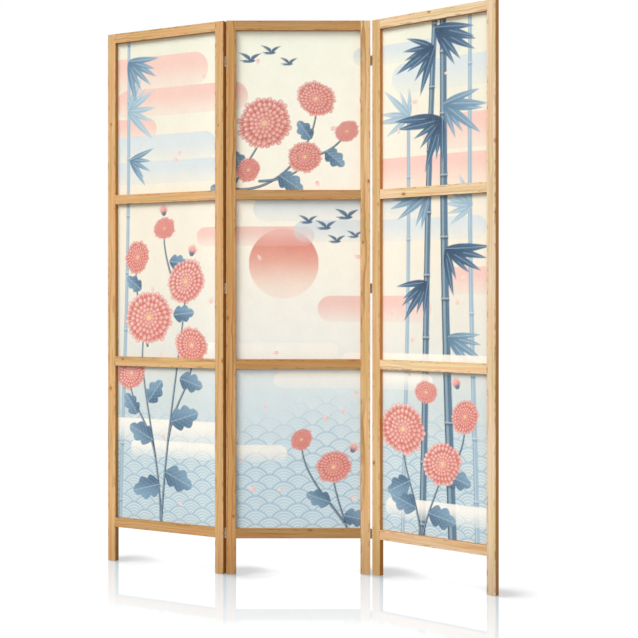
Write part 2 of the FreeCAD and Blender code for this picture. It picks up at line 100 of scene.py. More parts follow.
class Wire:
    """A shader socket. Sums with it add Math nodes, and step and between add smooth steps and mixes."""

    def __init__(self, tree, socket=None):
        self.tree = tree
        self.socket = socket

    def add(self, kind, settings, sockets, output=0):
        """Add a node of a kind: its settings first, then a value or a wire for each named socket."""
        node = self.tree.nodes.new("ShaderNode" + kind)
        for name, value in settings.items():
            setattr(node, name, value)
        for name, value in sockets.items():
            if isinstance(value, Wire):
                self.tree.links.new(value.socket, node.inputs[name])
            else:
                node.inputs[name].default_value = value
        return Wire(self.tree, node.outputs[output])

    def math(self, operation, *values):
        return self.add("Math", {"operation": operation}, dict(enumerate(values)))

    def __add__(self, other):
        return self.math("ADD", self, other)

    def __sub__(self, other):
        return self.math("SUBTRACT", self, other)

    def __rsub__(self, other):
        return self.math("SUBTRACT", other, self)

    def __mul__(self, other):
        return self.math("MULTIPLY", self, other)

    def __truediv__(self, other):
        return self.math("DIVIDE", self, other)

    def __pow__(self, power):
        return self.math("POWER", self, power)

    def __abs__(self):
        return self.math("ABSOLUTE", self)

    def step(self, low, high):
        """0 at low, 1 at high, and smooth between."""
        return self.add("MapRange", {"interpolation_type": "SMOOTHSTEP"}, {0: self, 1: low, 2: high})

    def between(self, first, second):
        """The mix of two colours with this wire as its share."""
        return self.add("Mix", {"data_type": "RGBA"}, {0: self, 6: first, 7: second}, output=2)

    def stack(self, x, y, z):
        """One vector from three numbers or wires."""
        return self.add("CombineXYZ", {}, {0: x, 1: y, 2: z})

    def noise(self, x, y, z, detail=2):
        """Noise from 0 to 1 at a place given in units of its blotches."""
        place = self.stack(x, y, z)
        return self.add("TexNoise", {"normalize": True}, {"Vector": place, "Scale": 1, "Detail": detail})


def paint(code, tone=1.0):
    """Linear red, green and blue of a written colour such as deb380, times a tone."""
    shares = np.array([int(code[k:k + 2], 16) for k in (0, 2, 4)]) / 255
    return np.where(shares <= 0.04045, shares / 12.92, ((shares + 0.055) / 1.055) ** 2.4) * tone


def solid(code, tone=1.0):
    """A written colour as the four numbers that a colour socket takes."""
    return (*paint(code, tone), 1)


def new_material(name):
    """An empty material, its wire and its Principled shader."""
    material = bpy.data.materials.new(name)
    material.use_nodes = True
    shader = material.node_tree.nodes["Principled BSDF"]
    return material, Wire(material.node_tree), shader


def finish_shader(wire, shader, colour, roughness, height, distance, strength):
    """Link what varies over the surface: colour, roughness, and a bump of a real height in metres."""
    tree = wire.tree
    tree.links.new(colour.socket, shader.inputs["Base Color"])
    tree.links.new(roughness.socket, shader.inputs["Roughness"])
    bump = wire.add("Bump", {}, {"Strength": strength, "Distance": distance, "Height": height})
    tree.links.new(bump.socket, shader.inputs["Normal"])


# The side panels are the middle panel shifted along by one panel and turned about the pins, so a
# pattern is laid out in line and turned back with the panel.
LEFT_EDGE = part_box("middle_panel_left_stile")[0][0]
RIGHT_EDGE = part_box("middle_panel_right_stile")[1][0]
MIDDLE_X = (LEFT_EDGE + RIGHT_EDGE) / 2
PINS = {"middle": (MIDDLE_X, 0.0, 0.0)}
for joint in frame["joints"]:
    PINS[joint["child"].replace("_panel", "")] = (*joint["pos_m"][:2], math.radians(joint["range_deg"][1]))
SHIFTS = {panel: 2 * (PINS[panel][0] - MIDDLE_X) for panel in PANELS}


def in_line_place(wire, panel, centre):
    """Object coordinates turned back about the panel's pin, and measured from a centre in the middle
    panel's own place: q = R(fold)(p - pin) + pin - shift - centre, as one Mapping node."""
    pin_x, pin_y, fold = PINS[panel]
    turned_x = pin_x * math.cos(fold) - pin_y * math.sin(fold)
    turned_y = pin_x * math.sin(fold) + pin_y * math.cos(fold)
    offset = (pin_x - turned_x - SHIFTS[panel] - centre[0], pin_y - turned_y - centre[1], -centre[2])
    place = wire.add("TexCoord", {}, {}, output=3)
    place = wire.add("Mapping", {"vector_type": "POINT"}, {0: place, 1: offset, 2: (0, 0, fold)})
    return [wire.add("SeparateXYZ", {}, {0: place}, output=axis) for axis in range(3)]


def pine_finish(wire, shader, along, across, deep, seed, tone, knots, half, inner_side=1, side_shade=0.9,
                foot=None):
    """Pine. Its year rings are shells about a pith line beside and behind the face: the ring number
    is the distance to that line over the ring spacing. Grain lines part round a knot as water does
    round a post, by across * R^2 / d^2. half is the piece's half width and half thickness."""
    draw = np.random.default_rng(seed)
    run = along + float(draw.uniform(0, 40))
    wander = wire.noise(run * 2.6, across * 6, deep * 6) - 0.5
    heave = wire.noise(run * 5.5, 3.0, 7.0) - 0.5
    ripple = wire.noise(run * 19, across * 22, deep * 22, 1) - 0.5
    side = across + wander * GRAIN_WANDER + ripple * GRAIN_RIPPLE
    knot_core = 0.0
    knot_rim = 0.0
    knot_halo = 0.0
    for knot_along, knot_across, radius in knots:
        lengthwise = (along - knot_along) * 0.62
        sideways = across - knot_across + deep * 0.25
        square = lengthwise * lengthwise + sideways * sideways
        reach = square ** 0.5 + ripple * 0.0016
        side = side - sideways * (1.8 * radius * radius) / (square + 0.35 * radius * radius)
        knot_core = reach.step(radius, radius * 0.8) + knot_core
        knot_rim = reach.step(radius * 0.72, radius * 0.95) * reach.step(radius * 1.25, radius) + knot_rim
        knot_halo = reach.step(radius * 3.2, radius) + knot_halo
    off = side - inner_side * float(draw.uniform(0.006, 0.015)) - along * float(draw.uniform(-0.004, 0.004))
    back = deep - float(draw.uniform(0.009, 0.018)) + heave * 0.011
    ring = (off * off + back * back) ** 0.5 / RING_SPACING
    number = ring.math("FLOOR", ring)
    share = ring - number
    weight = wire.add("TexWhiteNoise", {"noise_dimensions": "1D"}, {"W": number + seed})
    bold = wire.noise(run * 3.3 + 5, across * 45, deep * 45, 1).step(0.46, 0.66)
    late = share.step(0.30, 0.90) * share.step(1.0, 0.94)
    late = late * (weight ** 2 * 0.75 + 0.10) * (bold * 0.72 + 0.28)
    fibre = wire.noise(run * 16, across * 1300, deep * 1300)
    pores = wire.noise(run * 60, across * 2600, deep * 2600, 1)
    band = wire.noise(run * 3.1, across * 120, deep * 90)
    blush = wire.noise(run * 4.3 + 9, across * 40, deep * 40, 1)
    early = blush.step(0.32, 0.68).between(solid("d9b171", tone), solid("e6ac72", tone))
    early = (band.step(0.36, 0.66) * 0.8).between(early, solid("ecc592", tone))
    early = (fibre.step(0.30, 0.75) * 0.35).between(early, solid("cb9452", tone))
    colour = late.between(early, solid("94591f", tone))
    colour = (pores.step(0.62, 0.78) * 0.22).between(colour, solid("a8713a", tone))
    if knots:
        colour = (knot_halo * 0.40).between(colour, solid("bd7d3e", tone))
        heart = fibre.step(0.3, 0.7).between(solid("8a5527"), solid("a36c36"))
        colour = (knot_core * 0.85).between(colour, heart)
        colour = (knot_rim * 0.60).between(colour, solid("5f3a1a"))
    worn = abs(across).step(half[0] - ARRIS, half[0] - ARRIS / 4.5)
    worn = worn * abs(deep).step(half[1] - ARRIS, half[1] - ARRIS / 4.5) * blush.step(0.25, 0.6)
    # the side faces take the grain in a deeper, more saturated brown: painted shade
    side_grain_painted_shade = late.between(solid("b37d3d", side_shade), solid("7d4a1c", side_shade))
    nick = wire.noise(run * 48, across * 270, deep * 270, 1).step(0.55, 0.66)
    nick = nick * abs(across).step(half[0] - NICK_BAND, half[0] - ARRIS)
    colour = (nick * 0.55).between(colour, solid("7c4a1c"))
    side_face = abs(across).step(half[0] - ARRIS / 2, half[0] - ARRIS / 6)
    colour = (side_face * 0.85).between(colour, side_grain_painted_shade)
    # painted shade: a stile is darker towards the floor, over its lowest part
    if foot is not None:
        colour = (along.step(foot + FOOT_PAINTED_SHADE_REACH, foot) * 0.30).between(colour, solid("80501f", tone))
    colour = (worn * 0.30).between(colour, solid("f0d2a4", tone))
    roughness = fibre * 0.16 + worn * 0.12 - late * 0.06 + 0.40
    height = fibre * 0.5 - late * 0.6 - pores.step(0.6, 0.8) * 0.5
    finish_shader(wire, shader, colour, roughness, height, 0.00025, 0.35)
    shader.inputs["Coat Weight"].default_value = 0.02
    shader.inputs["Coat Roughness"].default_value = 0.3
    shader.inputs["Specular IOR Level"].default_value = 0.14


# Each member's tone is the photograph's and is painted light and shade: the middle panel is darker, painted
# shade, and the right one paler, painted light.
PANEL_PAINTED_SHADING = {"left": (0.93, 0.94, 0.98), "middle": (0.86, 0.80, 0.75), "right": (1.10, 1.32, 1.78)}
# painted shade on the members' side faces, per panel
SIDE_PAINTED_SHADE = {
    "left": (0.98, 0.98, 0.70),
    "middle": (0.95, 0.98, 1.10),
    "right": (1.30, 1.05, 0.43),
    "right_rails": (1.15, 1.08, 0.80),
}
MEMBER_PAINTED_SHADING = {
    "left_bottom_rail": (0.80, 0.73, 0.65),
    "left_right_stile": (0.95, 0.94, 0.93),
    "middle_left_stile": (0.95, 0.90, 0.84),
    "middle_right_stile": (1.19, 1.37, 1.60),
    "middle_top_rail": (0.81, 0.79, 0.74),
    "middle_upper_mid_rail": (0.82, 0.82, 0.80),
    "middle_lower_mid_rail": (0.78, 0.76, 0.66),
    "middle_bottom_rail": (0.67, 0.66, 0.60),
    "right_left_stile": (0.80, 0.71, 0.57),
    "right_right_stile": (0.92, 0.95, 1.03),
    "right_bottom_rail": (0.88, 0.80, 0.80),
}

for panel_number, panel in enumerate(PANELS):
    for member_number, member in enumerate(STILES + RAILS):
        node = frame["nodes"][f"{panel}_panel_{member}"]
        low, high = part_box(f"middle_panel_{member}")
        centre = (low + high) / 2
        seed = 10 * panel_number + member_number + 3
        material, wire, shader = new_material(f"pine_{panel}_{member}")
        x, y, z = in_line_place(wire, panel, centre)
        draw = np.random.default_rng(100 + seed)
        upright = member in STILES
        length = high[2] - low[2] if upright else high[0] - low[0]
        knots = []
        for k in range(2 if upright else draw.integers(0, 2)):
            knots.append((float(draw.uniform(-0.46, 0.46) * length),
                          float(draw.choice((-1, 1)) * draw.uniform(0.004, 0.0125)),
                          float(draw.uniform(0.0014, 0.0034))))
        # painted light and shade for each panel and each listed member; the rest get a small random tone
        tone = np.array(PANEL_PAINTED_SHADING[panel]) * MEMBER_PAINTED_SHADING.get(f"{panel}_{member}", draw.uniform(0.97, 1.02))
        along, across = (z, x) if upright else (x, z)
        inner = -1 if member in ("right_stile", "top_rail") else 1
        half = (MEMBER_WIDE / 2, MEMBER_THICK / 2)
        foot = -length / 2 if upright else None
        side_shade = SIDE_PAINTED_SHADE["right_rails" if panel == "right" and not upright else panel]
        pine_finish(wire, shader, along, across, y, seed, tone, knots, half, inner, side_shade, foot)
        node.data.materials[0] = material


# Back beads: thin pine strips in the rebates of the frame's back, four behind each printed sheet,
# whose edges they hold. The level strips run over the full width and the upright ones fit between.
BEAD_HALF = 0.0016
NO_SIDES = 0.3
BOTTOM_RAIL_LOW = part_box("middle_panel_bottom_rail")[0][2]
RAIL_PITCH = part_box("middle_panel_lower_mid_rail")[0][2] - BOTTOM_RAIL_LOW

for panel_number, panel in enumerate(PANELS):
    material, wire, shader = new_material(f"pine_{panel}_back_beads")
    low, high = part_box("middle_panel_back_beads")
    x, y, z = in_line_place(wire, panel, (MIDDLE_X, (low[1] + high[1]) / 2, BOTTOM_RAIL_LOW))
    into_cell = (z / RAIL_PITCH).math("FRACT", z / RAIL_PITCH) * RAIL_PITCH
    level = into_cell.math("LESS_THAN", into_cell, MEMBER_WIDE)
    along = level * x + (1 - level) * z
    across = level * into_cell + (1 - level) * x
    pine_finish(wire, shader, along, across, y, 60 + panel_number, 0.97, (), (NO_SIDES, BEAD_HALF))
    frame["nodes"][f"{panel}_panel_back_beads"].data.materials[0] = material


# Rail dowels: round beech pegs 6 mm thick, two glued into each end of a rail. They are hidden in the
# joints, and show only where a frame is taken apart.
for panel in PANELS:
    material, wire, shader = new_material(f"beech_{panel}_dowels")
    x, y, z = in_line_place(wire, panel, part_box("middle_panel_rail_dowels")[0])
    fleck = wire.noise(x * 350, y * 2400, z * 2400)
    streak = wire.noise(x * 40, y * 700, z * 700)
    colour = streak.step(0.3, 0.7).between(solid("d3a878"), solid("e3c096"))
    colour = (fleck.step(0.58, 0.75) * 0.5).between(colour, solid("a8764a"))
    finish_shader(wire, shader, colour, fleck * 0.15 + 0.5, streak, 0.0001, 0.3)
    frame["nodes"][f"{panel}_panel_rail_dowels"].data.materials[0] = material


# Brads: thin nails of bright steel wire, driven through each bead strip from the back into the
# frame, with their heads flush.
KNUCKLE_REACH = 0.0027


def steel(name, bright, dark, rough, scratch, pin=None, metal=1.0):
    """Zinc-plated steel: a blotchy plating, fine scratches and a slightly uneven gloss. Leaves that
    are given their pin are darker round it: painted shade on the rolled knuckles."""
    material, wire, shader = new_material(name)
    place = wire.add("TexCoord", {}, {}, output=3)
    x, y, z = [wire.add("SeparateXYZ", {}, {0: place}, output=axis) for axis in range(3)]
    blotch = wire.noise(x * 420, y * 420, z * 420, 3)
    fine = wire.noise(x * 5200, y * 5200, z * scratch, 2)
    colour = blotch.step(0.3, 0.7).between(solid(dark), solid(bright))
    colour = (fine.step(0.55, 0.75) * 0.3).between(colour, solid("6c6a66"))
    if pin is not None:
        away = ((x - pin[0]) * (x - pin[0]) + (y - pin[1]) * (y - pin[1])) ** 0.5
        # painted shade: the knuckles darker round the pin
        painted_knuckle_shade = blotch.step(0.3, 0.7).between(solid("6a5f4b"), solid("8b7f66"))
        colour = away.step(KNUCKLE_REACH + 0.0001, KNUCKLE_REACH - 0.0001).between(colour, painted_knuckle_shade)
    finish_shader(wire, shader, colour, blotch * 0.14 + fine * 0.1 + rough, fine, 0.00004, 0.25)
    shader.inputs["Metallic"].default_value = metal
    return material


brad_finish = steel("steel_brads", "c9c8c4", "a5a3a0", 0.3, 5200)
for panel in PANELS:
    frame["nodes"][f"{panel}_panel_bead_brads"].data.materials[0] = brad_finish


# Hinges: three butt hinges on each joint, of pressed zinc-plated steel leaves with rolled knuckles,
# a steel pin with button ends, and two countersunk cross-slotted screws in each leaf.
pin_finish = steel("steel_pins", "d2d1cd", "a9a8a4", 0.22, 5200)
screw_finish = steel("steel_screws", "cbc9c2", "a19f98", 0.26, 5200)
# the left joint's leaves are paler and less metallic than the right's: painted light in the shaded fold
for joint, bright, dark, pin, metal in (("left", "f3e4c8", "cfbfa2", None, 0.6),
                                        ("right", "ffe2b0", "efcd98", PINS["right"], 1.0)):
    leaf_finish = steel(f"steel_leaves_{joint}", bright, dark, 0.45, 700, pin, metal)
    for height in ("lower", "middle", "upper"):
        for part, finish in (("inner_leaf", leaf_finish), ("outer_leaf", leaf_finish), ("pin", pin_finish)):
            frame["nodes"][f"{joint}_{height}_hinge_{part}"].data.materials[0] = finish
    for side in ("inner", "outer"):
        frame["nodes"][f"{joint}_joint_{side}_screws"].data.materials[0] = screw_finish


# Printed sheets: nine pieces of primed cotton canvas 0.8 mm thick, one in each cell, cut 5 mm past
# the opening all round and held flat there between the rebate and the beads. One picture runs over
# the whole screen, in thin inks: waves, mist, a low sun, geese, bamboo and sprays of chrysanthemum.
GRID_STEP = 0.002
LAP = 0.005
SLACK = 0.00028
SOFT_EDGE = 0.0018
THREAD_PAIR = 0.0011


def ease(low, high, x):
    """0 below low, 1 above high, and 3t^2 - 2t^3 between."""
    t = np.clip((x - low) / (high - low), 0, 1)
    return t * t * (3 - 2 * t)


def inside(distance):
    """Cover of a shape by the distance to its edge, negative inside, softened by the ink's edge."""
    return np.clip(0.5 - distance / SOFT_EDGE, 0, 1)


def between(first, second, share):
    """Mix of two colours by an array of shares."""
    share = np.clip(share, 0, 1)[..., None]
    return np.asarray(first) * (1 - share) + np.asarray(second) * share


def chance(number, salt):
    """A fixed share for each whole number: the fraction of a large sine."""
    return np.mod(np.sin(number * 12.9898 + salt * 78.233) * 43758.5453, 1.0)


def cloud(x, z, size, salt):
    """Soft blotches from -1 to 1: sine waves of five sizes and turns, each bent by another."""
    total = 0
    for k, (turn, scale) in enumerate(((0.4, 1.0), (1.5, 1.7), (2.7, 2.6), (3.9, 3.7), (5.1, 5.3))):
        along = (x * math.cos(turn) + z * math.sin(turn)) * scale * 2 * math.pi / size
        side = (z * math.cos(turn) - x * math.sin(turn)) * scale * 2 * math.pi / size
        total = total + np.sin(along + 1.3 * np.sin(side * 0.7 + salt + k) + salt * 2.1 * (k + 1)) / (k + 1)
    return total / 2.28


class Print:
    """The picture on one sheet: x and z of its points, and the colour laid there so far."""

    def __init__(self, x, z, colour):
        self.x = x
        self.z = z
        self.colour = colour

    def near(self, left, right, low, high):
        """The part of the sheet in a box, or None where the box misses it."""
        columns = np.flatnonzero((self.x[0] > left) & (self.x[0] < right))
        rows = np.flatnonzero((self.z[:, 0] > low) & (self.z[:, 0] < high))
        if len(columns) < 2 or len(rows) < 2:
            return None
        part = (slice(rows[0], rows[-1] + 1), slice(columns[0], columns[-1] + 1))
        return Print(self.x[part], self.z[part], self.colour[part])

    def lay(self, cover, colour):
        """Lay a colour, or an array of colours, where cover is 1."""
        cover = np.clip(cover, 0, 1)[..., None]
        self.colour[...] = self.colour * (1 - cover) + np.asarray(colour) * cover


def lay_ground(sheet):
    """The dyed ground: colours at a few heights, joined by straight mixes, deeper towards both sides."""
    heights = (0.10, 0.34, 0.55, 0.74, 1.02, 1.34, 1.72)
    shades = [paint(c) for c in ("b9d0dc", "c6d9e1", "dbe5e5", "f1efe5", "fcf4e3", "fbf5e4", "f5f6e4")]
    level = sheet.z + 0.02 * cloud(sheet.x, sheet.z * 2, 0.9, 1.0)
    ground = [np.interp(level, heights, [s[k] for s in shades]) for k in range(3)]
    # deeper towards both sides: partly the print's own fade, and partly painted shade that evens the side
    # panels, which the lamps light more, with the middle one
    sides = ease(0.14, 0.40, np.abs(sheet.x))[..., None]
    sheet.colour[...] = np.stack(ground, axis=-1) * (1.04 - sides * np.array((0.12, 0.13, 0.16)))


WAVE_RADIUS = 0.044
WAVE_RING = 0.0088
WAVE_TOP = 0.56


def lay_waves(sheet):
    """Rows of overlapping fans: a point shows the lowest circle that it is in, as rings about it."""
    x, z = sheet.x, sheet.z
    step = WAVE_RADIUS / 2
    row = np.floor(z / step)
    rings = np.zeros_like(x)
    tint = np.zeros_like(x)
    for back in (2, 1, 0, -1, -2):
        j = row + back
        shift = np.mod(j, 2) * WAVE_RADIUS
        i = np.round((x - shift) / (2 * WAVE_RADIUS))
        reach = np.hypot(x - shift - i * 2 * WAVE_RADIUS, z - j * step)
        hit = reach < WAVE_RADIUS
        rings = np.where(hit, reach, rings)
        tint = np.where(hit, chance(i * 7 + j * 13, 2.0), tint)
    fade = ease(WAVE_TOP, WAVE_TOP - 0.20, z + 0.05 * cloud(x, z, 0.5, 7.0))
    band = np.abs(np.mod(rings / WAVE_RING + 0.5, 1) - 0.5) * WAVE_RING
    sheet.lay(fade * (0.20 + 0.25 * tint) * ease(0.2, 1.0, rings / WAVE_RADIUS), paint("a9c6d6"))
    sheet.lay(0.75 * fade * inside(band - 0.0011), paint("f1f4ef"))
    sheet.lay(0.8 * fade * inside(np.abs(WAVE_RADIUS - rings - 0.0012) - 0.0012), paint("86abc0"))


def lay_sun(sheet, centre, radius):
    """A low sun: a disc, coral at its top and thinning to the ground's colour at its foot."""
    part = sheet.near(centre[0] - radius, centre[0] + radius, centre[1] - radius, centre[1] + radius)
    if part is None:
        return
    reach = np.hypot(part.x - centre[0], part.z - centre[1])
    height = (part.z - centre[1]) / radius
    depth = ease(-0.9, 0.9, height + 0.1 * cloud(part.x, part.z, 0.2, 6.0))
    shade = between(paint("f7cdb9"), paint("e58e7c"), depth)
    part.lay(inside(reach - radius) * (0.35 + 0.65 * ease(-1.0, 0.2, height)), shade)


def lay_mist(sheet, bands, colour, strength):
    """Level bands with round ends, full along their upper edge and thin below:
    (left, right, height, half height)."""
    for left, right, height, half in bands:
        part = sheet.near(left - half, right + half, height - 1.1 * half, height + 1.1 * half)
        if part is None:
            continue
        reach = np.maximum(np.abs(part.x - (left + right) / 2) - (right - left) / 2, 0)
        cover = inside(np.hypot(reach, part.z - height) - half)
        full = ease(height - half * 1.05, height + half * 0.6, part.z)
        part.lay(strength * cover * (0.35 + 0.65 * full), paint(colour))


CANE_NODE = 0.172


def lay_cane(sheet, foot, lean, half, high, salt, shades):
    """A bamboo cane: a leaning line that thins upwards and swells at each node by a bell curve."""
    part = sheet.near(foot - 0.09, foot + 0.09, -1, high)
    if part is None:
        return
    x, z = part.x, part.z
    centre = foot + lean * z + 0.006 * np.sin(z * 3 + salt)
    pitch = CANE_NODE * (1 + 0.12 * chance(salt, 1.0))
    place = np.mod(z / pitch + chance(salt, 2.0), 1)
    near = np.minimum(place, 1 - place) * pitch
    width = half * (1 - 0.25 * z / 1.6) + 0.0016 * np.exp(-(near / 0.006) ** 2)
    across = (x - centre) / width
    distance = np.maximum(np.abs(x - centre) - width, z - high)
    body = between(shades[0], shades[1], ease(-0.9, 0.7, across + 0.12 * cloud(x * 6, z, 0.3, salt)))
    body = between(body, shades[2], 0.75 * ease(0.55, 0.1, np.abs(across + 0.35)))
    around = np.mod(place + 0.5, 1) - 0.5
    body = between(body, shades[3], 0.9 * np.exp(-(around * pitch / 0.0022) ** 2))
    body = between(body, shades[0], 0.7 * np.exp(-((around + 0.022) * pitch / 0.005) ** 2))
    part.lay(inside(distance), body)


def lay_blade(sheet, root, turn, long, shades, bend, wide_share=0.085):
    """A long pointed leaf: half width w * sin(pi t^0.7)^0.9 about an axis bent by a square law."""
    part = sheet.near(root[0] - long, root[0] + long, root[1] - long, root[1] + long)
    if part is None:
        return
    dx, dz = part.x - root[0], part.z - root[1]
    wide = long * wide_share
    along = dx * math.cos(turn) + dz * math.sin(turn)
    across = dz * math.cos(turn) - dx * math.sin(turn) - bend * along * along / long
    t = np.clip(along / long, 0, 1)
    half = wide * np.sin(math.pi * t ** 0.7) ** 0.9
    distance = np.where((along < 0) | (along > long), 1.0, np.abs(across) - half)
    shade = between(shades[0], shades[1], t + 0.35 * ease(-wide, wide, across))
    shade = between(shade, shades[2], 0.8 * inside(np.abs(across) - 0.0007))
    part.lay(inside(distance), shade)


def lay_tuft(sheet, root, turn, count, long, spread, shades, salt):
    """A fan of pointed leaves from one node of a cane."""
    for k in range(count):
        way = turn + ((k + 0.5) / count - 0.5) * spread + 0.2 * (chance(k, salt) - 0.5)
        size = long * (0.72 + 0.4 * chance(k, salt + 4))
        lay_blade(sheet, root, way, size, shades, 0.16 * (chance(k, salt + 9) - 0.3))


def lay_stem(sheet, points, thick, thin, colour):
    """A stem: a cubic through four points, thinning to its tip."""
    points = np.asarray(points, float)
    low, high = points.min(0) - 0.02, points.max(0) + 0.02
    part = sheet.near(low[0], high[0], low[1], high[1])
    if part is None:
        return
    knots = np.linspace(0, 1, len(points))
    fine = np.linspace(0, 1, 28)
    line = [np.polyval(np.polyfit(knots, points[:, k], 3), fine) for k in (0, 1)]
    best = np.full_like(part.x, 1.0)
    for k in range(len(fine) - 1):
        ax, az = line[0][k], line[1][k]
        bx, bz = line[0][k + 1] - ax, line[1][k + 1] - az
        share = np.clip(((part.x - ax) * bx + (part.z - az) * bz) / (bx * bx + bz * bz), 0, 1)
        gap = np.hypot(part.x - ax - share * bx, part.z - az - share * bz)
        best = np.minimum(best, gap - (thick + (thin - thick) * fine[k]))
    part.lay(inside(best), colour)


def lay_leaf(sheet, root, turn, long):
    """A lobed leaf: half width 0.34 sin(pi t^0.8)^0.55, notched by a cubed sine, with paler veins."""
    part = sheet.near(root[0] - long, root[0] + long, root[1] - long, root[1] + long)
    if part is None:
        return
    dx, dz = part.x - root[0], part.z - root[1]
    along = (dx * math.cos(turn) + dz * math.sin(turn)) / long
    across = (dz * math.cos(turn) - dx * math.sin(turn)) / long
    t = np.clip(along, 0, 1)
    lean = t - np.abs(across) * 0.35
    lobes = 0.66 + 0.34 * np.abs(np.sin(math.pi * (lean * 2.6 + 0.16)))
    half = 0.37 * np.sin(math.pi * t ** 0.85) ** 0.7 * lobes
    distance = np.where((along < 0) | (along > 1), 1.0, (np.abs(across) - half) * long)
    veins = np.abs(np.mod((t - np.abs(across) * 1.1) * 6, 1) - 0.5)
    shade = between(paint("3f607c"), paint("7f9fb5"), t * 0.7 + 0.5 * ease(-0.2, 0.2, across))
    vein = 0.55 * ease(0.44, 0.5, veins) + 0.9 * inside(np.abs(across * long) - 0.0008)
    part.lay(inside(distance), between(shade, paint("b9cdd6"), vein))


BLOOM_RINGS = ((27, 1.0), (24, 0.79), (19, 0.58), (14, 0.40), (9, 0.25))
PALE_PINK, PINK, CORAL, WHITE_PINK = (paint(c) for c in ("f9ddd3", "eeb0a3", "d46f63", "fdeee6"))


def lay_bloom(sheet, centre, radius, squash, tilt, salt):
    """A chrysanthemum: rings of petals, each ring shorter than the one under it. A petal is a wedge
    about its own axis, closed by a half circle."""
    part = sheet.near(centre[0] - radius, centre[0] + radius, centre[1] - radius, centre[1] + radius)
    if part is None:
        return
    dx, dz = part.x - centre[0], part.z - centre[1]
    u = dx * math.cos(tilt) + dz * math.sin(tilt)
    v = (dz * math.cos(tilt) - dx * math.sin(tilt)) / squash
    reach = np.hypot(u, v)
    angle = np.arctan2(v, u)
    pale = chance(salt, 40.0)
    for ring, (count, share) in enumerate(BLOOM_RINGS):
        step = 2 * math.pi / count
        turned = angle / step + 0.5 * (ring % 2) + chance(salt, ring + 1.0)
        petal = np.floor(turned)
        own = chance(np.mod(petal, count) + ring * 31, salt)
        off = (turned - petal - 0.5) * step
        long = radius * share * (1 - 0.13 * own)
        half = step * long * 0.44
        stem = long - half
        a = reach * np.cos(off)
        b = np.abs(reach * np.sin(off))
        sides = b - half * (0.30 + 0.70 * np.clip(a / stem, 0, 1))
        distance = np.where(a > stem, np.hypot(a - stem, b) - half, sides)
        root = share - 0.26
        out = reach / radius
        tip = between(PINK, PALE_PINK, 0.25 + 0.75 * pale + 0.35 * own - 0.22 * ring)
        shade = between(CORAL, tip, ease(root, share - 0.03, out + 0.05 * (own - 0.5)))
        shade = between(shade, WHITE_PINK, 0.55 * inside(b - half * 0.16) * ease(0.55, 0.9, a / long))
        shade = between(shade, CORAL, 0.20 * ease(-1.0, 1.0, (dx - dz) / radius))
        shade = between(shade, CORAL, 0.75 * ease(-0.0026, -0.0004, distance))
        part.lay(inside(distance), shade)
    dots = 0.5 + 0.5 * np.sin(reach / radius * 90) * np.sin(angle * 9)
    part.lay(inside(reach - radius * 0.10), between(paint("e3a56f"), paint("fae3b4"), dots))


PETALS = (PINK, PALE_PINK, WHITE_PINK)


def lay_bud(sheet, root, turn, long):
    """A bud: five pointed petals in a narrow fan, the middle one last, in a short dark cup."""
    for way in (-0.42, 0.42, -0.2, 0.2, 0.0):
        size = long * (1 - abs(way) * 0.4)
        lay_blade(sheet, root, turn + way, size, (CORAL, PINK, WHITE_PINK), way * 0.3, 0.17)
    for way in (-0.5, 0.5, 0.0):
        lay_blade(sheet, root, turn + way, long * 0.42, DEEP, 0.0, 0.22)


def lay_goose(sheet, place, span):
    """A goose flying down to the left: two raised wings, a round body, and a long neck and tail, all
    of them pointed leaves."""
    x, z = place
    lay_blade(sheet, (x + 0.06 * span, z), 1.05, 0.52 * span, GOOSE, -0.5, 0.17)
    lay_blade(sheet, (x + 0.26 * span, z - 0.02 * span), 3.22, 0.62 * span, GOOSE, 0.06, 0.12)
    lay_blade(sheet, (x - 0.12 * span, z), 3.42, 0.36 * span, GOOSE, -0.25, 0.10)
    lay_blade(sheet, (x + 0.02 * span, z), 2.15, 0.60 * span, GOOSE, 0.45, 0.15)


SLATE = [paint(c) for c in ("35475a", "5d7a90", "9db8c6", "e4ecea")]
FAR = [paint(c) for c in ("7d9bb0", "a3bccb", "c6d7dd", "eef2ee")]
DEEP = [paint(c) for c in ("2c4560", "4d6f8c", "a9c1cf")]
SOFT = [paint(c) for c in ("5b7d97", "86a6ba", "cddde2")]
PALE = [paint(c) for c in ("93b1c3", "b3cad5", "e2ebea")]
GOOSE = [paint(c) for c in ("3d566e", "6f8ba0", "54708a")]
FAR_MIST = ((-0.75, -0.30, 1.33, 0.045), (-0.62, -0.18, 1.255, 0.036), (-0.10, 0.36, 1.13, 0.040),
            (0.02, 0.60, 1.06, 0.034), (0.34, 0.80, 1.52, 0.046), (0.20, 0.52, 1.60, 0.030))
NEAR_MIST = ((0.16, 0.80, 0.655, 0.030), (-0.05, 0.42, 0.600, 0.026), (-0.75, -0.22, 0.430, 0.036),
             (-0.56, -0.06, 0.372, 0.026), (0.30, 0.75, 0.215, 0.030), (-0.30, 0.10, 0.690, 0.024))
ROSE_MIST = ((-0.80, -0.34, 1.575, 0.052), (-0.60, -0.20, 1.480, 0.044), (-0.78, -0.52, 1.395, 0.036),
             (0.26, 0.62, 1.235, 0.046), (0.46, 0.80, 1.345, 0.052), (-0.30, 0.02, 1.045, 0.030),
             (0.10, 0.40, 0.820, 0.040), (0.52, 0.80, 0.905, 0.040))
SUN = (-0.045, 0.960)
SUN_RADIUS = 0.108
GEESE = (((0.150, 1.105), 0.070), ((0.085, 1.072), 0.062), ((0.030, 1.090), 0.056),
         ((0.118, 1.030), 0.054), ((0.175, 1.045), 0.048), ((-0.150, 1.590), 0.066),
         ((-0.085, 1.615), 0.058), ((-0.030, 1.580), 0.052))
